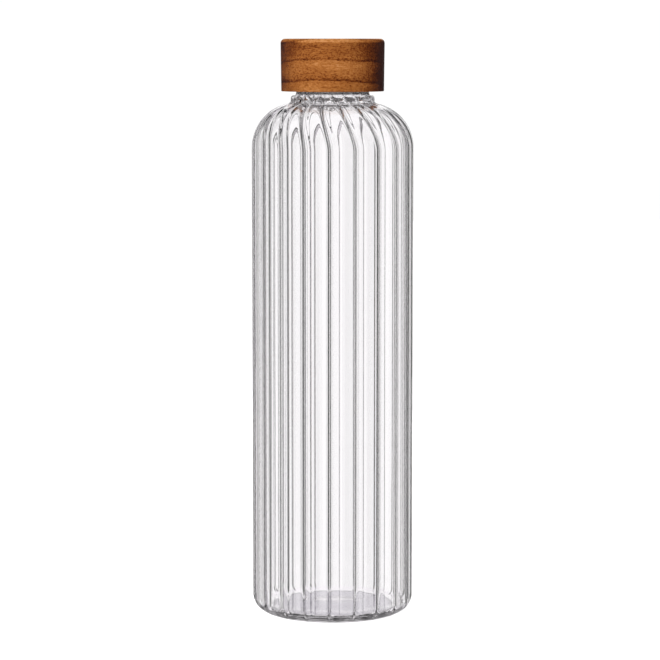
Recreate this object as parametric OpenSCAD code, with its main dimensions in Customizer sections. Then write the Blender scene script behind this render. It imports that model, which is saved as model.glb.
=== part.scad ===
// Fluted glass water bottle with a turned wooden screw cap.
// Millimetres. Z is the bottle's axis, up, and the origin is the middle of the base.

/* [Body] */
// Height from the table to the top of the closed cap
overall_h = 284; // [260:1:320]
// Outside diameter of the glass across its ribs
body_d = 80; // [76:1:90]
// Thickness of the glass wall at a rib's crest
wall = 2.4; // [2.2:0.1:3]
// Thickness of the glass floor
floor_t = 4; // [3.5:0.5:6]
// Radius of the rounded shoulder
shoulder_r = 22.5; // [21:0.5:24]
// Radius of the rounded heel, where the wall turns into the base
heel_r = 9; // [7:0.5:11]

/* [Ribs] */
// Number of rounded ribs round the body, in fours so that the part is as wide as it is deep
ribs = 20; // [12:4:24]
// Depth of the crease between two ribs
crease_depth = 1.2; // [0.6:0.1:1.2]
// Turn of the ribs over the shoulder, in degrees, clockwise going up
shoulder_twist = 11; // [0:1:20]
// Further turn of the ribs over the bead, in degrees for each millimetre of height
bead_twist = 1.8; // [0:0.2:2.4]

/* [Neck] */
// Diameter of the neck between its threads
neck_d = 34.6; // [33.6:0.2:35]
// Diameter of the mouth's bore
bore_d = 29; // [26:0.5:29.5]
// Diameter of the bead below the cap
bead_d = 41.4; // [40:0.2:43]
// Rise of the thread in one turn
thread_pitch = 4; // [3.8:0.1:4.2]
// Length of the thread in turns
thread_turns = 1.5; // [1:0.25:1.75]

/* [Cap] */
// Diameter of the wooden cap at its top
cap_d = 51; // [50:0.5:56]
// Height of the wooden cap
cap_h = 25.6; // [25:0.2:27]
// Thickness of the wood above the liner
wood_top_t = 7; // [6:0.5:8]
// Radius of the cap's rounded top edge
cap_edge_r = 2.2; // [1:0.2:3]

/* [Hidden] */

$fn = 96;
eps = 0.01;             // overlap that joins two shapes of one piece
arc_step = 7.5;         // degrees between two points of a profile's arc

// Glass body: radii and heights of its outside and inside
body_r = body_d / 2;
inner_r = body_r - wall;
inner_heel_r = heel_r / 2;
inner_shoulder_r = shoulder_r - wall;
bore_r = bore_d / 2;
base_ring_inner_r = 21;  // the base rests on the ring outside this radius
punt_rise = 1.4;         // how far the middle of the base is pushed up

// Ribbed skin
rib_points = [-1, -0.88, -0.7, 0, 0.7, 0.88]; // across one rib, from its crease at -1 to 0 at its crest
rib_flatness = 6;        // power of a rib's section: higher is flatter, with a narrower crease
skin_step = 10;          // degrees between two rows of points on a bend
heel_plain = 25;         // degrees of the heel, from the base up, that have no ribs
heel_fade = 20;          // degrees of the heel over which the ribs reach full depth

// Neck, bead and lip
neck_r = neck_d / 2;
bead_r = bead_d / 2;
bead_h = 3.4;            // height of the bead above the shoulder's top
lip_round_r = 0.9;       // rounding of the lip's two edges
neck_below_cap = 5.4;    // from the shoulder's top to the cap's lower rim

// Cap stack, from the wood's flat top down to the glass lip
glue_gap = 0.1;          // glue line between the wood and the liner
liner_top_t = 1.6;       // thickness of the liner's disc
seal_t = 2.2;            // thickness of the sealing ring
seal_gap = 0.05;         // clearance above and below the sealing ring
cap_z = overall_h - cap_h;
liner_top_z = overall_h - wood_top_t - glue_gap;
seal_top_z = liner_top_z - liner_top_t - seal_gap;
seal_z = seal_top_z - seal_t;
lip_z = seal_z - seal_gap;

shoulder_top_z = cap_z - neck_below_cap;
shoulder_z = shoulder_top_z - shoulder_r;

// Glass thread, and the liner's thread that runs below it
ridge_h = 1.2;           // how far the glass thread stands out of the neck
ridge_base_w = 2.4;      // its width at the neck
ridge_crest_w = 1;       // its width at the crest
ridge_root = 0.4;        // how deep each thread is sunk into its wall
thread_z = lip_z - 3.2 - thread_turns * thread_pitch;
liner_thread_drop = 1.7; // the liner's thread lies this far below the glass thread

// Threaded liner
liner_r = neck_r + 3.2;  // outside radius of the skirt
liner_inner_r = neck_r + 1.7;
liner_rim_gap = 0.8;     // the skirt ends this far above the wood's rim
liner_ridge_h = 1.25;    // how far the liner's thread stands inwards
key_count = 24;          // ribs that key the skirt into the glue
key_h = 0.4;
key_w = 1.2;
plug_r = bore_r - 2;     // boss in the middle of the disc that centres the ring
plug_wall = 1.4;
plug_h = 2;

// Sealing ring
seal_outer_r = liner_inner_r - 0.35;
seal_inner_r = plug_r + 0.3;

// Wooden cap
cap_r = cap_d / 2;
cap_taper = 0.3;         // the wood is this much narrower in radius at its rim
rim_chamfer = 0.3;
wood_bore_r = liner_r + key_h + glue_gap;

// Points of an arc about c, from angle a to angle b, both included
function arc(c, r, a, b) =
    let (n = max(1, ceil(abs(b - a) / arc_step)))
    [for (i = [0 : n]) let (t = a + (b - a) * i / n) c + r * [cos(t), sin(t)]];

// One corner of a thread's section, at angle a along the helix
function helix_point(r, a, pitch, z) = [r * cos(a), r * sin(a), z + pitch * a / 360];

// Height of a thread's crest above its root, from 0 at each end to 1 over a sixth of a turn
function run_out(a, total) = min(1, a / 60, (total - a) / 60);

// A helical ridge from radius root_r to crest_r, which may be the smaller one
module thread_ridge(root_r, crest_r, base_w, crest_w, z) {
    total = thread_turns * 360;
    steps = round(total / 10);
    inwards = crest_r < root_r;
    points = [
        for (i = [0 : steps])
            let (a = total * i / steps, k = run_out(a, total))
            let (crest = root_r + (crest_r - root_r) * (0.15 + 0.85 * k))
            each [
                helix_point(root_r, a, thread_pitch, z - base_w / 2),
                helix_point(crest, a, thread_pitch, z - crest_w / 2),
                helix_point(crest, a, thread_pitch, z + crest_w / 2),
                helix_point(root_r, a, thread_pitch, z + base_w / 2),
            ]
    ];
    sides = [
        for (i = [0 : steps - 1], j = [0 : 3])
            let (p = 4 * i + j, q = 4 * i + (j + 1) % 4)
            each [[p, q, q + 4], [p, q + 4, p + 4]]
    ];
    last = 4 * steps;
    ends = [[2, 1, 0], [3, 2, 0], [last, last + 1, last + 2], [last, last + 2, last + 3]];
    faces = concat(sides, ends);
    polyhedron(
        points = points,
        faces = inwards ? [for (f = faces) [f[2], f[1], f[0]]] : faces,
        convexity = 8
    );
}

// Rows of the ribbed skin, from the base ring up to the neck: radius, height and crease depth
function heel_rows() = [
    for (a = [-90 : skin_step : 0])
        [
            body_r - heel_r + heel_r * cos(a), heel_r + heel_r * sin(a),
            crease_depth * min(1, max(0, (a + 90 - heel_plain) / heel_fade))
        ]
];
function shoulder_rows() = [
    for (a = [0 : skin_step : 80])
        [
            body_r - shoulder_r + shoulder_r * cos(a), shoulder_z + shoulder_r * sin(a),
            crease_depth
        ]
];
function bead_rows() = [
    [bead_r, shoulder_top_z + 0.5, crease_depth],
    [bead_r, shoulder_top_z + bead_h - 1.2, crease_depth],
    [bead_r - 0.4, shoulder_top_z + bead_h - 0.4, crease_depth],
    [bead_r - 1.4, shoulder_top_z + bead_h, crease_depth / 2],
    [neck_r + 1, shoulder_top_z + bead_h + 0.6, 0],
    [neck_r - 1, shoulder_top_z + bead_h + 1.8, 0],
];

// Turn of the ribs at height z: none on the wall, growing over the shoulder and on over the bead
function rib_turn(z) =
    let (k = min(1, max(0, (z - shoulder_z) / shoulder_r)))
    -shoulder_twist * pow(k, 1.5) - bead_twist * max(0, z - shoulder_top_z);

// The ribbed outside of the glass below the neck
module ribbed_skin() {
    rows = concat(heel_rows(), shoulder_rows(), bead_rows());
    columns = ribs * len(rib_points);
    points = [
        for (row = rows, i = [0 : ribs - 1], u = rib_points)
            let (r = row[0] - row[2] * pow(abs(u), rib_flatness))
            let (a = 360 * (i + (u + 1) / 2) / ribs + rib_turn(row[1]))
            [r * cos(a), r * sin(a), row[1]]
    ];
    last = (len(rows) - 1) * columns;
    sides = [
        for (i = [0 : len(rows) - 2], c = [0 : columns - 1])
            let (p = i * columns + c, q = i * columns + (c + 1) % columns)
            each [[p, q + columns, q], [p, p + columns, q + columns]]
    ];
    bottom = [for (c = [0 : columns - 1]) c];
    top = [for (c = [columns - 1 : -1 : 0]) last + c];
    polyhedron(points = points, faces = concat([bottom, top], sides), convexity = 10);
}

// The plain neck, which starts inside the skin and ends at the lip
module neck_profile() {
    polygon(concat(
        [[0, shoulder_top_z], [neck_r, shoulder_top_z]],
        arc([neck_r - lip_round_r, lip_z - lip_round_r], lip_round_r, 0, 90),
        [[0, lip_z]]
    ));
}

// The space for the water, open at the mouth
module inside_profile() {
    heel_c = [inner_r - inner_heel_r, floor_t + inner_heel_r];
    shoulder_c = [inner_r - inner_shoulder_r, shoulder_z];
    meet_angle = acos((bore_r + 1.5 - shoulder_c[0]) / inner_shoulder_r);
    polygon(concat(
        [[0, floor_t]],
        arc(heel_c, inner_heel_r, -90, 0),
        arc(shoulder_c, inner_shoulder_r, 0, meet_angle),
        [[bore_r, shoulder_top_z - wall + 1.6]],
        arc([bore_r + lip_round_r, lip_z - lip_round_r], lip_round_r, 180, 90),
        [[bore_r + lip_round_r, lip_z + 1], [0, lip_z + 1]]
    ));
}

module glass_bottle() {
    color("azure", 0.35)
    difference() {
        union() {
            ribbed_skin();
            rotate_extrude() neck_profile();
            thread_ridge(neck_r - ridge_root, neck_r + ridge_h, ridge_base_w, ridge_crest_w, thread_z);
        }
        rotate_extrude() inside_profile();
        // The punt under the base
        translate([0, 0, -eps])
            cylinder(r1 = base_ring_inner_r, r2 = base_ring_inner_r - 8, h = punt_rise + eps);
    }
}

module wooden_cap() {
    rim_r = cap_r - cap_taper;
    color("sienna")
    difference() {
        rotate_extrude() polygon(concat(
            [[0, cap_z], [rim_r - rim_chamfer, cap_z], [rim_r, cap_z + rim_chamfer]],
            arc([cap_r - cap_edge_r, overall_h - cap_edge_r], cap_edge_r, 0, 90),
            [[0, overall_h]]
        ));
        translate([0, 0, cap_z - 1])
            cylinder(r = wood_bore_r, h = liner_top_z + glue_gap - cap_z + 1);
    }
}

module threaded_liner() {
    skirt_z = cap_z + liner_rim_gap;
    disc_z = liner_top_z - liner_top_t;
    color("ivory")
    union() {
        difference() {
            translate([0, 0, skirt_z])
                cylinder(r = liner_r, h = liner_top_z - skirt_z);
            translate([0, 0, skirt_z - 1])
                cylinder(r = liner_inner_r, h = disc_z - skirt_z + 1);
        }
        // Boss that centres the sealing ring
        difference() {
            translate([0, 0, disc_z - plug_h]) cylinder(r = plug_r, h = plug_h + eps);
            translate([0, 0, disc_z - plug_h - 1]) cylinder(r = plug_r - plug_wall, h = plug_h + 1);
        }
        // Glue keys round the skirt
        for (i = [0 : key_count - 1])
            rotate([0, 0, 360 * (i + 0.5) / key_count])
                translate([liner_r - 0.3, -key_w / 2, skirt_z + 2])
                    cube([0.3 + key_h, key_w, liner_top_z - skirt_z - 4]);
        thread_ridge(liner_inner_r + ridge_root, liner_inner_r - liner_ridge_h,
                     ridge_base_w, ridge_crest_w, thread_z - liner_thread_drop);
    }
}

module seal_ring() {
    edge = 0.4;
    color("gainsboro")
    rotate_extrude() polygon([
        [seal_inner_r, seal_z + edge], [seal_inner_r + edge, seal_z],
        [seal_outer_r - edge, seal_z], [seal_outer_r, seal_z + edge],
        [seal_outer_r, seal_top_z - edge], [seal_outer_r - edge, seal_top_z],
        [seal_inner_r + edge, seal_top_z], [seal_inner_r, seal_top_z - edge]
    ]);
}

glass_bottle();
wooden_cap();
threaded_liner();
seal_ring();
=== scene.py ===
"""Ribbed glass water bottle with a turned wooden screw cap, on a pale floor in soft studio light."""

import math

import bpy
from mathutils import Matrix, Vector


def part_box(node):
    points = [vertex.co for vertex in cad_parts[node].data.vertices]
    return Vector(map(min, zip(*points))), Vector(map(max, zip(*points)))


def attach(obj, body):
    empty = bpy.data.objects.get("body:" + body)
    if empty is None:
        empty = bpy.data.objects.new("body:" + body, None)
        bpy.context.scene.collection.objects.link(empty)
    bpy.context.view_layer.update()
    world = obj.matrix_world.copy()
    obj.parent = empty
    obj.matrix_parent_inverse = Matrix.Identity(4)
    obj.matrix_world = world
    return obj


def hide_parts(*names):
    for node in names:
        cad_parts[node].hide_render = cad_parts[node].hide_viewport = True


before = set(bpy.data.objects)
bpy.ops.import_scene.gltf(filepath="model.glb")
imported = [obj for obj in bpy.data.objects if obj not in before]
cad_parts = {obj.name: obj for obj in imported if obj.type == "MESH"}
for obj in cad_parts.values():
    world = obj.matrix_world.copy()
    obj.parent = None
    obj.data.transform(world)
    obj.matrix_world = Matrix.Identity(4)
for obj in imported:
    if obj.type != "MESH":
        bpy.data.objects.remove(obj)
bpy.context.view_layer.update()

MM = 0.001

# ---------------------------------------------------------------- sizes
# Heights and radii that the CAD model gives
wood_lo, wood_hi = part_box("wooden_cap")
liner_lo, liner_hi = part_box("threaded_liner")
seal_lo, seal_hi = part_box("seal_ring")
LIP_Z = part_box("glass_bottle")[1].z
CAP_RIM_Z, CAP_TOP_Z, CAP_R = wood_lo.z, wood_hi.z, wood_hi.x
LINER_RIM_Z, LINER_TOP_Z = liner_lo.z, liner_hi.z
SEAL_Z, SEAL_TOP_Z, SEAL_R = seal_lo.z, seal_hi.z, seal_hi.x

# Outside of the glass
BODY_R = 39.87 * MM
HEEL_R = 9.0 * MM
SHOULDER_R = 22.5 * MM
SHOULDER_TOP_Z = CAP_RIM_Z - 5.4 * MM
SHOULDER_Z = SHOULDER_TOP_Z - SHOULDER_R
SHOULDER_END = 80  # degrees of the shoulder's bend, where the foot of the bead begins
BEAD_R = 20.7 * MM
BEAD_TOP_Z = SHOULDER_TOP_Z + 3.4 * MM
BEAD_ROUND = 1.3 * MM
COLLAR_R = 18.0 * MM
COLLAR_Z = BEAD_TOP_Z + 1.2 * MM
RIB_END_Z = CAP_RIM_Z + 1.2 * MM
NECK_R = 17.3 * MM
LIP_ROUND = 0.9 * MM
PUNT_R = 21.0 * MM
PUNT_RISE = 0.5 * MM

# Inside of the glass
WALL = 1.7 * MM
INNER_R = BODY_R - WALL
INNER_SHOULDER_R = SHOULDER_R - WALL
INNER_HEEL_R = 3.4 * MM
BORE_R = 14.5 * MM
FLOOR_T = 4.0 * MM
FLOOR_RISE = 0.5 * MM

# Ribs. A section's power sets how flat a rib is, and its softness how round the crease is
RIBS = 20
RIB_STEP = math.tau / RIBS
RIB_COLUMNS = 20
RIB_CROWD = 2.3
CREASE = 1.3 * MM
CREASE_FROM, CREASE_FULL = 22, 48  # degrees up the heel's bend
WALL_POWER, WALL_SOFT = 13.0, 0.03
NECK_POWER, NECK_SOFT = 3.0, 0.12
INNER_CREASE = 0.55 * MM
INNER_POWER, INNER_SOFT = 6.0, 0.30
INNER_TURN = math.radians(2.2)
SHOULDER_TWIST = math.radians(11)
BEAD_TWIST = math.radians(1.8) / MM

# Threads, with the CAD model's pitch, start and turns
PITCH = 4.0 * MM
TURNS = 1.5
THREAD_RISE = TURNS * PITCH
THREAD_Z = LIP_Z - 3.2 * MM - THREAD_RISE
LINER_THREAD_Z = THREAD_Z - 1.7 * MM
GLASS_RIDGE = 1.2 * MM
LINER_RIDGE = 1.25 * MM
RIDGE_CREST_HALF = 0.5 * MM
RIDGE_FLANK = 0.53 * MM
RUN_OUT = 60  # degrees over which a thread starts and ends
THREAD_ROWS = 48

# Cap, liner and seal
CAP_EDGE_R = 2.2 * MM
CAP_TAPER = 0.3 * MM
RIM_EASE = 0.35 * MM
GLUE = 0.1 * MM
LINER_R = 20.5 * MM
LINER_IN_R = 19.0 * MM
LINER_DISC = 1.6 * MM
LINER_EASE = 0.3 * MM
PLUG_R = 12.5 * MM
PLUG_IN_R = 11.1 * MM
PLUG_H = 2.0 * MM
SEAL_GAP = 0.3 * MM
SEAL_EASE = 0.6 * MM
CAP_COLUMNS, LINER_COLUMNS, SEAL_COLUMNS = 192, 240, 144

# Glue keys: upright ridges round the liner, which stop short of its two ends
KEYS = 24
KEY_H = 0.4 * MM
KEY_END = 2.0 * MM
KEY_SLOPE = 0.2 * MM
KEY_SPACING = LINER_COLUMNS // KEYS
KEY_COLUMNS = (4, 5, 6)
WOOD_BORE_R = LINER_R + KEY_H + GLUE

# The floor, and the disc of painted shadow under the base
FLOOR_HALF = 3.0
FLOOR_Z = -0.3 * MM
SHADE_R = 31 * MM
SHADE_Z = -0.1 * MM


# ---------------------------------------------------------------- outlines and meshes
def smooth_step(t):
    t = min(1.0, max(0.0, t))
    return t * t * (3 - 2 * t)


def arc(cx, cz, r, a, b, n):
    """Points (radius, height) of an arc from angle a to angle b in degrees, both included."""
    turns = [math.radians(a + (b - a) * i / n) for i in range(n + 1)]
    return [(cx + r * math.cos(t), cz + r * math.sin(t)) for t in turns]


def line(p, q, n):
    """n points from p towards q, with q and without p."""
    return [(p[0] + (q[0] - p[0]) * i / n, p[1] + (q[1] - p[1]) * i / n) for i in range(1, n + 1)]


def near(r, z, steps):
    """Points set off from (r, z) by steps outwards and upwards, in millimetres."""
    return [(r + out * MM, z + up * MM) for out, up in steps]


def mesh_object(name, verts, faces):
    mesh = bpy.data.meshes.new(name)
    mesh.from_pydata(verts, [], faces)
    mesh.validate()
    mesh.update()
    obj = bpy.data.objects.new(name, mesh)
    bpy.context.scene.collection.objects.link(obj)
    return obj


def band(k, nxt, columns):
    """The faces between two rings of points."""
    faces = []
    for c in range(columns):
        d = (c + 1) % columns
        faces.append((k * columns + c, k * columns + d, nxt * columns + d, nxt * columns + c))
    return faces


def lathe(name, rings, first_pole, last_pole):
    """A closed mesh from rings of points, with one point on the axis closing each end."""
    columns = len(rings[0])
    verts = [p for ring in rings for p in ring]
    faces = [face for k in range(len(rings) - 1) for face in band(k, k + 1, columns)]
    first, last = len(verts), len(verts) + 1
    verts += [first_pole, last_pole]
    end = (len(rings) - 1) * columns
    for c in range(columns):
        faces.append((first, (c + 1) % columns, c))
        faces.append((last, end + c, end + (c + 1) % columns))
    obj = mesh_object(name, verts, faces)
    obj.data.shade_smooth()
    return obj


def ring_closed(name, rings):
    """A closed ring-shaped mesh: the last ring of points joins the first."""
    verts = [p for ring in rings for p in ring]
    faces = [face for k in range(len(rings)) for face in band(k, (k + 1) % len(rings), len(rings[0]))]
    obj = mesh_object(name, verts, faces)
    obj.data.shade_smooth()
    return obj


def thread_height(angle, z, start_z, height):
    """How far a thread's ridge stands out at an angle and height on the wall."""
    total = TURNS * 360
    best = 0.0
    turn = math.degrees(angle) % 360
    for k in range(int(TURNS) + 1):
        a = turn + 360 * k
        if a > total:
            continue
        off = abs(z - (start_z + PITCH * a / 360))
        if off > RIDGE_CREST_HALF + RIDGE_FLANK:
            continue
        run = min(1.0, a / RUN_OUT, (total - a) / RUN_OUT)
        side = smooth_step(1 - (off - RIDGE_CREST_HALF) / RIDGE_FLANK)
        best = max(best, height * smooth_step(run) * side)
    return best


def thread_wall(r, start_z, margin):
    """Close rows of points up a wall that holds a thread."""
    low, high = start_z - margin, start_z + THREAD_RISE + margin
    return [(r, low + (high - low) * i / THREAD_ROWS) for i in range(THREAD_ROWS + 1)]


# ---------------------------------------------------------------- the ribbed glass
def rib_places():
    """Places across one rib, from -1 to 1, crowded towards its two creases."""
    even = [2 * i / RIB_COLUMNS - 1 for i in range(RIB_COLUMNS)]
    return [math.copysign(1 - (1 - abs(v)) ** RIB_CROWD, v) for v in even]


RIB_U = rib_places()


def rib_section(u, power, soft):
    """Depth below the crest, from 0 at u = 0 to 1 in the crease at u = 1, with a rounded crease."""
    u = abs(u)
    edge = 1 - soft
    slope = power * edge ** (power - 1)
    full = edge**power + slope * soft / 2
    if u <= edge:
        return u**power / full
    t = u - edge
    return (edge**power + slope * t - slope * t * t / (2 * soft)) / full


def twist_at(z):
    """Turn of the ribs: none on the wall, growing over the shoulder and on over the bead."""
    k = min(1.0, max(0.0, (z - SHOULDER_Z) / SHOULDER_R))
    above = min(CAP_RIM_Z, max(SHOULDER_TOP_Z, z)) - SHOULDER_TOP_Z
    return -SHOULDER_TWIST * k**1.5 - BEAD_TWIST * above


def outer_section(z):
    """Power and softness outside: narrow creases on the wall, round lobes at the neck."""
    k = smooth_step((z - SHOULDER_Z - 0.55 * SHOULDER_R) / (0.45 * SHOULDER_R))
    return WALL_POWER + (NECK_POWER - WALL_POWER) * k, WALL_SOFT + (NECK_SOFT - WALL_SOFT) * k


def glass_ring(r, z, depth, inside, thread):
    """One ring of points, with creases of a depth, and a thread's ridge where there is one."""
    power, soft = (INNER_POWER, INNER_SOFT) if inside else outer_section(z)
    turn = twist_at(z) + (INNER_TURN if inside else 0.0)
    ring = []
    for rib in range(RIBS):
        for u in RIB_U:
            angle = RIB_STEP * (rib + (u + 1) / 2) + turn
            radius = r - depth * rib_section(u, power, soft)
            if thread:
                radius += thread_height(angle, z, THREAD_Z, thread)
            ring.append((radius * math.cos(angle), radius * math.sin(angle), z))
    return ring


def glass_rings(points, depth=lambda k: 0.0, inside=False, thread=0.0):
    """Rings along a stretch of outline. depth(k) is the depth of the creases at point k."""
    return [glass_ring(r, z, depth(k), inside, thread) for k, (r, z) in enumerate(points)]


def outer_rings():
    """From the punt over the base, heel, wall, shoulder, bead and neck to the lip."""
    base_edge = BODY_R - HEEL_R
    punt_places = (0.12, 0.3, 0.48, 0.64, 0.78, 0.88, 0.95, 0.99)
    punt = [(PUNT_R * t, PUNT_RISE * math.cos(math.pi * t / 2) ** 2) for t in punt_places]
    base = [(PUNT_R + 0.5 * MM, 0), ((PUNT_R + base_edge) / 2, 0), (base_edge - 0.6 * MM, 0)]
    rings = glass_rings(punt + base)

    heel_rows = 22
    heel = arc(base_edge, HEEL_R, HEEL_R, -90, 0, heel_rows)

    def heel_depth(k):
        bend = 90 * k / heel_rows
        return CREASE * smooth_step((bend - CREASE_FROM) / (CREASE_FULL - CREASE_FROM))

    rings += glass_rings(heel, heel_depth)

    wall = line(heel[-1], (BODY_R, SHOULDER_Z), 8)
    shoulder = arc(BODY_R - SHOULDER_R, SHOULDER_Z, SHOULDER_R, 0, SHOULDER_END, 34)[1:]
    foot_steps = [(0.75, -0.28), (0.35, -0.12), (0.1, 0.1), (-0.02, 0.45)]
    bead_foot = near(BEAD_R, SHOULDER_TOP_Z, foot_steps)
    crown_rows = 9
    crown = arc(BEAD_R - BEAD_ROUND, BEAD_TOP_Z - BEAD_ROUND, BEAD_ROUND, 0, 78, crown_rows)
    bead_side = line(bead_foot[-1], crown[0], 3)[:-1]
    rings += glass_rings(wall + shoulder + bead_foot + bead_side, lambda k: CREASE)

    # Over the bead's crown the creases lose half their depth, and they fade out behind the cap's rim
    rings += glass_rings(crown, lambda k: CREASE * (1 - smooth_step(k / crown_rows) / 2))
    throat = arc(COLLAR_R + BEAD_ROUND, COLLAR_Z, BEAD_ROUND, 256, 180, 8)
    rings += glass_rings(throat, lambda k: CREASE / 2)
    fade_rows = 4
    fade = line(throat[-1], (NECK_R, RIB_END_Z), fade_rows)
    rings += glass_rings(fade, lambda k: CREASE / 2 * (1 - smooth_step((k + 1) / fade_rows)))

    threaded = thread_wall(NECK_R, THREAD_Z, 1.6 * MM)
    rings += glass_rings(near(*threaded[0], [(0, -0.2)]))
    rings += glass_rings(threaded, thread=GLASS_RIDGE)
    rings += glass_rings(arc(NECK_R - LIP_ROUND, LIP_Z - LIP_ROUND, LIP_ROUND, 0, 90, 8))
    return rings


def inner_rings():
    """From the lip down the bore, the thin throat, the shoulder, the wall and the heel to the floor."""
    rings = glass_rings(arc(BORE_R + LIP_ROUND, LIP_Z - LIP_ROUND, LIP_ROUND, 90, 180, 8), inside=True)

    flare_steps = [
        (0, 3.8), (0.15, 3.3), (0.55, 2.8), (1.1, 2.1), (1.7, 1.2), (2.5, -0.1),
        (3.5, -1.7), (3.7, -2.6), (3.85, -3.6), (4.3, -4.4), (5.1, -4.95),
    ]
    flare = near(BORE_R, BEAD_TOP_Z, flare_steps)
    rings += glass_rings(flare, lambda k: INNER_CREASE * smooth_step((k - 2) / 4), inside=True)

    shoulder = arc(INNER_R - INNER_SHOULDER_R, SHOULDER_Z, INNER_SHOULDER_R, SHOULDER_END, 0, 28)
    heel = arc(INNER_R - INNER_HEEL_R, FLOOR_T + INNER_HEEL_R, INNER_HEEL_R, 0, -90, 18)
    wall = line(shoulder[-1], heel[0], 8)[:-1]
    rings += glass_rings(shoulder + wall + heel[:-2], lambda k: INNER_CREASE, inside=True)
    rings += glass_rings(heel[-2:], lambda k: INNER_CREASE * (1 - smooth_step((k + 1) / 2)), inside=True)

    floor_places = (0.92, 0.8, 0.62, 0.4, 0.18)
    floor_line = [(heel[-1][0] * t, FLOOR_T + FLOOR_RISE * (1 - t * t)) for t in floor_places]
    rings += glass_rings(floor_line, inside=True)
    return rings


def build_glass():
    rings = outer_rings() + inner_rings()
    return lathe("ribbed_glass", rings, (0, 0, PUNT_RISE), (0, 0, FLOOR_T + FLOOR_RISE))


# ---------------------------------------------------------------- cap, liner and seal
def circle_ring(r, z, columns, thread=0.0, key=0.0):
    """A ring of points, with the liner's thread standing inwards or its glue keys outwards."""
    ring = []
    for c in range(columns):
        angle = math.tau * c / columns
        radius = r
        if thread:
            radius -= thread_height(angle, z, LINER_THREAD_Z, thread)
        if c % KEY_SPACING in KEY_COLUMNS:
            radius += key
        ring.append((radius * math.cos(angle), radius * math.sin(angle), z))
    return ring


def build_cap():
    rim_r = CAP_R - CAP_TAPER
    bore_edge_r = WOOD_BORE_R + RIM_EASE
    ease_z = CAP_RIM_Z + RIM_EASE
    bore_top = LINER_TOP_Z + GLUE
    points = [(CAP_R * t, CAP_TOP_Z) for t in (0.06, 0.2, 0.4, 0.6, 0.75, 0.85)]
    points += arc(CAP_R - CAP_EDGE_R, CAP_TOP_Z - CAP_EDGE_R, CAP_EDGE_R, 90, 0, 12)
    points += line(points[-1], (rim_r, ease_z), 12)
    points += arc(rim_r - RIM_EASE, ease_z, RIM_EASE, 0, -90, 5)[1:]
    points += line(points[-1], (bore_edge_r, CAP_RIM_Z), 4)
    points += arc(bore_edge_r, ease_z, RIM_EASE, -90, -180, 4)[1:]
    points += line(points[-1], (WOOD_BORE_R, bore_top - 0.2 * MM), 8)
    points += near(WOOD_BORE_R, bore_top, [(-0.06, -0.06), (-0.2, 0)])
    points += [(WOOD_BORE_R * t, bore_top) for t in (0.8, 0.5, 0.2)]
    rings = [circle_ring(r, z, CAP_COLUMNS) for r, z in reversed(points)]
    return lathe("turned_wood_cap", rings, (0, 0, bore_top), (0, 0, CAP_TOP_Z))


def build_liner():
    """A cup with the thread inside, glue keys outside and a boss that centres the seal."""
    ease = LINER_EASE
    disc_z = LINER_TOP_Z - LINER_DISC
    plug_z = disc_z - PLUG_H + ease
    key_top, key_foot = LINER_TOP_Z - KEY_END, LINER_RIM_Z + KEY_END

    above_keys = [(LINER_R * t, LINER_TOP_Z) for t in (0.1, 0.35, 0.6, 0.85)]
    above_keys += arc(LINER_R - ease, LINER_TOP_Z - ease, ease, 90, 0, 4)
    above_keys += [(LINER_R, key_top)]
    keyed = [(LINER_R, key_top - KEY_SLOPE)]
    keyed += line((LINER_R, key_top), (LINER_R, key_foot), 12)[:-1]
    keyed += [(LINER_R, key_foot + KEY_SLOPE)]
    rim = [(LINER_R, key_foot)]
    rim += arc(LINER_R - ease, LINER_RIM_Z + ease, ease, 0, -90, 4)
    rim += arc(LINER_IN_R + ease, LINER_RIM_Z + ease, ease, -90, -180, 4)
    threaded = thread_wall(LINER_IN_R, LINER_THREAD_Z, 1.4 * MM)
    boss = arc(LINER_IN_R - ease, disc_z - ease, ease, 0, 90, 4)
    boss += near(PLUG_R, disc_z, [(0.3, 0), (0.05, -0.05), (0, -0.3)])
    boss += arc(PLUG_R - ease, plug_z, ease, 0, -90, 4)
    boss += arc(PLUG_IN_R + ease, plug_z, ease, -90, -180, 4)
    boss += near(PLUG_IN_R, disc_z, [(0, -0.3), (-0.05, -0.05), (-0.3, 0)])
    boss += [(PLUG_IN_R * t, disc_z) for t in (0.7, 0.4, 0.15)]

    rings = [circle_ring(r, z, LINER_COLUMNS) for r, z in above_keys]
    rings += [circle_ring(r, z, LINER_COLUMNS, key=KEY_H) for r, z in keyed]
    rings += [circle_ring(r, z, LINER_COLUMNS) for r, z in rim]
    rings += [circle_ring(r, z, LINER_COLUMNS, thread=LINER_RIDGE) for r, z in threaded]
    rings += [circle_ring(r, z, LINER_COLUMNS) for r, z in boss]
    return lathe("moulded_liner", rings[::-1], (0, 0, disc_z), (0, 0, LINER_TOP_Z))


def build_seal():
    inner = PLUG_R + SEAL_GAP
    ease = SEAL_EASE
    points = arc(SEAL_R - ease, SEAL_TOP_Z - ease, ease, 90, 0, 5)
    points += arc(SEAL_R - ease, SEAL_Z + ease, ease, 0, -90, 5)
    points += arc(inner + ease, SEAL_Z + ease, ease, -90, -180, 5)
    points += arc(inner + ease, SEAL_TOP_Z - ease, ease, 180, 90, 5)
    rings = [circle_ring(r, z, SEAL_COLUMNS) for r, z in reversed(points)]
    return ring_closed("silicone_seal", rings)


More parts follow.
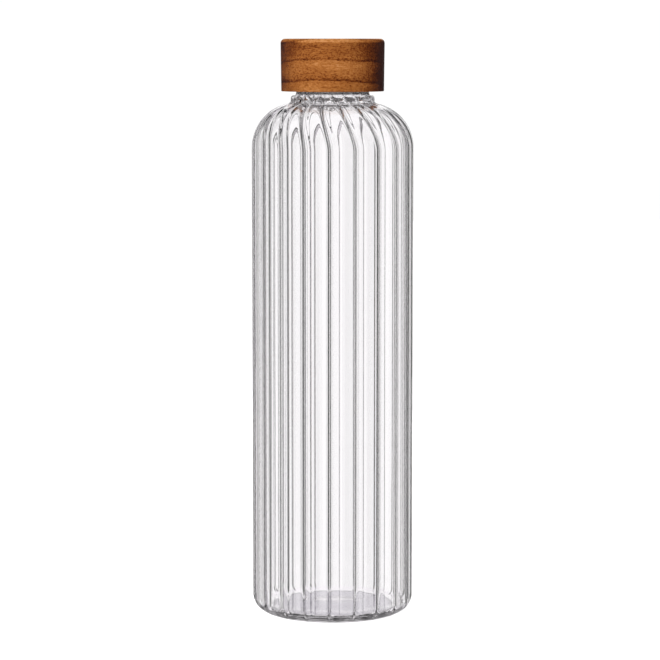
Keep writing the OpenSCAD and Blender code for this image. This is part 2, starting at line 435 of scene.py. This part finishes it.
# ---------------------------------------------------------------- node trees
class Nodes:
    """The node tree of a material or a world, with short calls to add and join nodes."""

    def __init__(self, owner, output="ShaderNodeOutputMaterial"):
        owner.use_nodes = True
        self.owner = owner
        self.tree = owner.node_tree
        self.tree.nodes.clear()
        self.out = self.add(output)

    def add(self, kind, **settings):
        node = self.tree.nodes.new(kind)
        for key, value in settings.items():
            setattr(node, key, value)
        return node

    def join(self, a, b):
        self.tree.links.new(a, b)

    def feed(self, socket, value):
        """Set a socket to a number or a colour, or join it to another node's output."""
        if isinstance(value, (int, float)):
            socket.default_value = value
        elif isinstance(value, tuple):
            socket.default_value = (*value, 1)
        else:
            self.join(value, socket)

    def coord(self, output):
        return self.add("ShaderNodeTexCoord").outputs[output]

    def split(self, vector):
        node = self.add("ShaderNodeSeparateXYZ")
        self.join(vector, node.inputs["Vector"])
        return node.outputs

    def mapped(self, scale):
        mapping = self.add("ShaderNodeMapping")
        mapping.inputs["Scale"].default_value = scale
        self.join(self.coord("Object"), mapping.inputs["Vector"])
        return mapping.outputs["Vector"]

    def noise(self, scale, detail=2.0, rough=0.5):
        """Noise in the object's own space, with a scale along each axis."""
        node = self.add("ShaderNodeTexNoise")
        node.inputs["Scale"].default_value = 1.0
        node.inputs["Detail"].default_value = detail
        node.inputs["Roughness"].default_value = rough
        self.join(self.mapped(scale), node.inputs["Vector"])
        return node.outputs["Fac"]

    def math(self, operation, a, b=None, clamp=False):
        node = self.add("ShaderNodeMath", operation=operation, use_clamp=clamp)
        self.feed(node.inputs[0], a)
        if b is not None:
            self.feed(node.inputs[1], b)
        return node.outputs[0]

    def plus(self, a, b):
        return self.math("ADD", a, b)

    def minus(self, a, b, clamp=False):
        return self.math("SUBTRACT", a, b, clamp)

    def times(self, a, b):
        return self.math("MULTIPLY", a, b)

    def ramp(self, value, stops):
        node = self.add("ShaderNodeValToRGB")
        elements = node.color_ramp.elements
        while len(elements) < len(stops):
            elements.new(0.5)
        for element, (place, colour) in zip(elements, stops):
            element.position = place
            element.color = (*colour, 1)
        self.join(value, node.inputs["Fac"])
        return node.outputs["Color"]

    def span(self, value, low, high, out_low, out_high, curve="LINEAR"):
        node = self.add("ShaderNodeMapRange", interpolation_type=curve)
        for key, number in (("From Min", low), ("From Max", high), ("To Min", out_low), ("To Max", out_high)):
            node.inputs[key].default_value = number
        self.join(value, node.inputs["Value"])
        return node.outputs["Result"]

    def mix(self, factor, a, b):
        node = self.add("ShaderNodeMix", data_type="RGBA")
        for index, value in ((0, factor), (6, a), (7, b)):
            self.feed(node.inputs[index], value)
        return node.outputs[2]

    def bump(self, height, strength, distance):
        node = self.add("ShaderNodeBump")
        node.inputs["Strength"].default_value = strength
        node.inputs["Distance"].default_value = distance
        self.join(height, node.inputs["Height"])
        return node.outputs["Normal"]

    def shader(self, **values):
        node = self.add("ShaderNodeBsdfPrincipled")
        for key, value in values.items():
            self.feed(node.inputs[key.replace("_", " ")], value)
        self.join(node.outputs["BSDF"], self.out.inputs["Surface"])


# ---------------------------------------------------------------- materials
# Glass takes a little light on its way, so the long paths at the sides and creases are darker
GLASS_TINT = (0.80, 0.79, 0.80)
GLASS_DENSITY = 36.0


def glass_material():
    m = Nodes(bpy.data.materials.new("clear_glass"))
    drift = m.noise((14, 14, 5))
    wave = m.noise((60, 60, 18))
    m.shader(
        Base_Color=m.ramp(drift, [(0.3, (0.995, 0.985, 0.992)), (0.7, (0.998, 0.990, 0.997))]),
        Roughness=m.span(drift, 0.3, 0.7, 0.0, 0.012),
        IOR=1.47,
        Transmission_Weight=1.0,
        Normal=m.bump(wave, 0.25, 0.2 * MM),
    )
    absorption = m.add("ShaderNodeVolumeAbsorption")
    m.feed(absorption.inputs["Color"], GLASS_TINT)
    m.feed(absorption.inputs["Density"], GLASS_DENSITY)
    m.join(absorption.outputs["Volume"], m.out.inputs["Volume"])
    return m.owner


# The wood's layers are shells round an axis along X, 100 mm above the cap
LAYER_AXIS_Z = CAP_TOP_Z + 100 * MM
LAYER_START = 2.67 * MM
LAYER_STEP = 10.0 * MM
LAYER_WARP = 4.5 * MM


def wood_material():
    """Oiled hardwood with its fibres along X: layers, veins, streaks, pores, a lighter top edge, and darker
    end grain with painted shade added at the +X end.
    """
    m = Nodes(bpy.data.materials.new("oiled_hardwood"))
    place = m.split(m.coord("Object"))
    facing = m.split(m.coord("Normal"))

    # How far through its layer a point lies, from 0 to 1, and the dark late wood and vein at its end
    rise = m.minus(LAYER_AXIS_Z, place["Z"])
    shell = m.math("SQRT", m.plus(m.times(rise, rise), m.math("POWER", place["Y"], 2.0)))
    warp = m.noise((26, 60, 60), detail=3, rough=0.55)
    shell = m.plus(shell, m.times(m.minus(warp, 0.5), LAYER_WARP))
    layer = m.math("FRACT", m.times(m.minus(shell, LAYER_START), 1 / LAYER_STEP))
    late = m.math("POWER", layer, 4.0)
    vein = m.times(m.span(layer, 0.84, 0.93, 0.0, 1.0), m.span(layer, 0.99, 0.95, 0.0, 1.0))

    streak = m.noise((70, 1300, 1300), detail=5, rough=0.7)
    patch = m.noise((30, 90, 160), detail=3)
    specks = m.noise((650, 1700, 1700), rough=0.7)
    pores = m.times(m.plus(m.times(late, 0.2), 0.36), m.span(specks, 0.47, 0.62, 0.0, 1.0))

    # The upper layer is darker, and the rounded top edge is lighter
    upper = m.span(place["Z"], CAP_TOP_Z - 9.4 * MM, CAP_TOP_Z - 8.0 * MM, 0.0, 0.17)
    lighter_top_edge = m.span(place["Z"], CAP_TOP_Z - 2.2 * MM, CAP_TOP_Z - 1.4 * MM, 0.0, 0.34)
    # Darker end grain at both ends of the fibres. Its weight doubles towards the +X end, and that extra is
    # painted shade: a light fall-off towards +X that stays on the part in every view
    end_grain_and_painted_shade = m.math("POWER", m.math("ABSOLUTE", facing["X"]), 4.0)
    end_grain_and_painted_shade = m.times(end_grain_and_painted_shade, m.span(facing["X"], -1.0, 1.0, 0.75, 1.5))

    tone = m.minus(0.73, m.times(late, 0.14))
    tone = m.plus(tone, m.times(m.minus(streak, 0.5), 0.75))
    tone = m.plus(tone, m.times(m.minus(patch, 0.5), 0.75))
    tone = m.minus(tone, m.times(vein, 0.20))
    tone = m.minus(tone, upper)
    tone = m.plus(tone, lighter_top_edge)
    tone = m.minus(tone, m.times(pores, 0.70))
    tone = m.minus(tone, m.times(end_grain_and_painted_shade, 0.6), clamp=True)
    browns = [
        (0.0, (0.022, 0.004, 0.002)),
        (0.3, (0.085, 0.021, 0.004)),
        (0.6, (0.180, 0.061, 0.014)),
        (0.8, (0.240, 0.092, 0.025)),
        (1.0, (0.310, 0.142, 0.054)),
    ]
    relief = m.minus(m.times(streak, 0.6), m.times(pores, 0.9))
    m.shader(
        Base_Color=m.ramp(tone, browns),
        Roughness=m.span(streak, 0.3, 0.7, 0.62, 0.46),
        Specular_IOR_Level=0.06,
        Specular_Tint=(0.50, 0.15, 0.06),
        Normal=m.bump(relief, 0.4, 0.2 * MM),
    )
    return m.owner


def plastic_material():
    m = Nodes(bpy.data.materials.new("moulded_polypropylene"))
    cloud = m.noise((90, 90, 90), detail=3)
    grain = m.noise((4000, 4000, 4000))
    m.shader(
        Base_Color=m.ramp(cloud, [(0.3, (0.93, 0.93, 0.91)), (0.7, (0.96, 0.96, 0.95))]),
        Roughness=m.span(cloud, 0.3, 0.7, 0.34, 0.44),
        Normal=m.bump(grain, 0.08, 0.1 * MM),
    )
    return m.owner


def silicone_material():
    m = Nodes(bpy.data.materials.new("translucent_silicone"))
    cloud = m.noise((120, 120, 120))
    grain = m.noise((2500, 2500, 2500))
    m.shader(
        Base_Color=m.ramp(cloud, [(0.3, (0.86, 0.87, 0.87)), (0.7, (0.90, 0.91, 0.91))]),
        Roughness=m.span(cloud, 0.3, 0.7, 0.42, 0.52),
        Normal=m.bump(grain, 0.1, 0.1 * MM),
    )
    return m.owner


def shade_material():
    """A painted soft shadow of the table under the base, glowing by emission, darkest along the edge of the
    base.
    """
    m = Nodes(bpy.data.materials.new("painted_table_shadow"))
    distance = m.add("ShaderNodeVectorMath", operation="LENGTH")
    m.join(m.coord("Object"), distance.inputs[0])
    cloud = m.noise((30, 30, 30))
    out = m.plus(distance.outputs["Value"], m.times(cloud, 1 * MM))
    # Painted shadow: grey under the middle, a dark ring along the base's edge, paler outside it
    stops = [
        (0.0, (0.50, 0.478, 0.54)),
        (0.35, (0.20, 0.19, 0.22)),
        (0.6, (0.20, 0.19, 0.22)),
        (0.8, (0.80, 0.78, 0.84)),
    ]
    m.shader(
        Base_Color=(0.0, 0.0, 0.0),
        Roughness=1.0,
        Specular_IOR_Level=0.0,
        Emission_Color=m.ramp(m.span(out, SHADE_R - 3 * MM, SHADE_R + 1 * MM, 0.0, 1.0), stops),
        Emission_Strength=1.0,
    )
    return m.owner


def floor_material():
    m = Nodes(bpy.data.materials.new("pale_floor"))
    cloud = m.noise((3, 3, 3))
    m.shader(
        Base_Color=m.ramp(cloud, [(0.3, (0.90, 0.90, 0.90)), (0.7, (0.92, 0.92, 0.92))]),
        Roughness=0.8,
        Emission_Color=(1.0, 1.0, 1.0),
        Emission_Strength=0.9,
    )
    return m.owner


# ---------------------------------------------------------------- pieces
def place_piece(obj, material, body, node):
    obj.data.materials.append(material)
    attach(obj, body)
    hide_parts(node)


place_piece(build_glass(), glass_material(), "bottle", "glass_bottle")
place_piece(build_cap(), wood_material(), "cap", "wooden_cap")
place_piece(build_liner(), plastic_material(), "cap", "threaded_liner")
place_piece(build_seal(), silicone_material(), "lift", "seal_ring")


# ---------------------------------------------------------------- floor
def flat_polygon(name, radius, z, sides, first_turn=0.0):
    turns = [first_turn + math.tau * i / sides for i in range(sides)]
    ring = [(radius * math.cos(t), radius * math.sin(t), z) for t in turns]
    return mesh_object(name, ring, [tuple(range(sides))])


# The glass doesn't see the floor, only the studio's white below it
floor = flat_polygon("floor", FLOOR_HALF * math.sqrt(2), FLOOR_Z, 4, math.pi / 4)
floor.data.materials.append(floor_material())
floor.visible_transmission = False
floor.visible_glossy = False

# A painted shadow: the table right under the base, drawn as a glowing disc in the bottle's soft shadow, which
# only the glass sees
under = flat_polygon("painted_shadow_under_base", SHADE_R, SHADE_Z, 96)
under.data.materials.append(shade_material())
under.visible_camera = False
under.visible_diffuse = False
under.visible_shadow = False


# ---------------------------------------------------------------- light
# Brightness of the tent by degrees from the middle of the nearest wide white strip
STRIP_FOLD = 45.0
STRIPS = [(0, 1.0), (16.2, 1.0), (17.2, 0.0), (37.5, 0.0), (38.5, 1.0), (45, 1.0)]
TENT_LEVEL = 1.04
TENT_DIFFUSE_CUT = 0.72
LOWER_LEVEL = 0.80
LOWER_TINT = (0.985, 0.955, 1.0)
BACKDROP = (1.02, 1.02, 1.02)


def world_light():
    """A white tent with dark strips round it, which the glass refracts as lines.

    The camera sees plain white, and matt surfaces get the tent's light dimmed.
    """
    world = bpy.data.worlds.new("studio")
    bpy.context.scene.world = world
    w = Nodes(world, "ShaderNodeOutputWorld")
    direction = w.split(w.coord("Generated"))
    azimuth = w.math("ARCTAN2", direction["X"], direction["Y"])
    off = w.math("PINGPONG", w.times(azimuth, 180 / math.pi), STRIP_FOLD)
    stops = [(degrees / STRIP_FOLD, (level, level, level)) for degrees, level in STRIPS]
    strips = w.ramp(w.math("DIVIDE", off, STRIP_FOLD), stops)
    lower = w.span(direction["Z"], -0.32, -0.60, 0.0, LOWER_LEVEL, "SMOOTHSTEP")
    upper = w.span(direction["Z"], 0.8, 0.97, 0.0, 1.0, "SMOOTHSTEP")
    level = w.math("MAXIMUM", w.math("MAXIMUM", strips, lower), upper)

    path = w.add("ShaderNodeLightPath").outputs
    dimmed = w.minus(TENT_LEVEL, w.times(path["Is Diffuse Ray"], TENT_DIFFUSE_CUT))
    tent = w.add("ShaderNodeBackground")
    w.join(w.mix(lower, (1.0, 1.0, 1.0), LOWER_TINT), tent.inputs["Color"])
    w.join(w.times(level, dimmed), tent.inputs["Strength"])
    plain = w.add("ShaderNodeBackground")
    w.feed(plain.inputs["Color"], BACKDROP)
    choice = w.add("ShaderNodeMixShader")
    w.join(path["Is Camera Ray"], choice.inputs[0])
    w.join(tent.outputs[0], choice.inputs[1])
    w.join(plain.outputs[0], choice.inputs[2])
    w.join(choice.outputs[0], w.out.inputs["Surface"])


def link_at(name, data, location, target):
    """Put a light or camera at a place, looking at a target."""
    obj = bpy.data.objects.new(name, data)
    bpy.context.scene.collection.objects.link(obj)
    obj.location = location
    obj.rotation_euler = (Vector(target) - Vector(location)).to_track_quat("-Z", "Y").to_euler()
    return obj


def softbox(name, location, side, power):
    """A square lamp for the wood. The glass and the camera don't see it."""
    data = bpy.data.lights.new(name, "AREA")
    data.shape = "RECTANGLE"
    data.size, data.size_y = side, side
    data.energy = power
    lamp = link_at(name, data, location, (0, 0, 0.15))
    lamp.visible_camera = False
    lamp.visible_glossy = False
    lamp.visible_transmission = False


world_light()
softbox("key", (-0.5, -1.75, 0.6), 0.5, 29)
softbox("top", (-0.2, -0.3, 1.7), 0.8, 30)

# ---------------------------------------------------------------- camera
CAMERA_TURN = math.radians(2.4)
CAMERA_BACK = 1.318
CAMERA_Z = 0.2806
AIM = (-0.0013, 0, 0.1406)
camera_data = bpy.data.cameras.new("camera")
camera_data.lens = 146.0
camera_data.sensor_width = 36
camera_place = (CAMERA_BACK * math.sin(CAMERA_TURN), -CAMERA_BACK * math.cos(CAMERA_TURN), CAMERA_Z)
bpy.context.scene.camera = link_at("camera", camera_data, camera_place, AIM)

scene = bpy.context.scene
scene.view_settings.view_transform = "Standard"
scene.cycles.use_denoising = True
scene.cycles.max_bounces = 24
scene.cycles.transmission_bounces = 24
scene.cycles.glossy_bounces = 12
scene.cycles.diffuse_bounces = 8
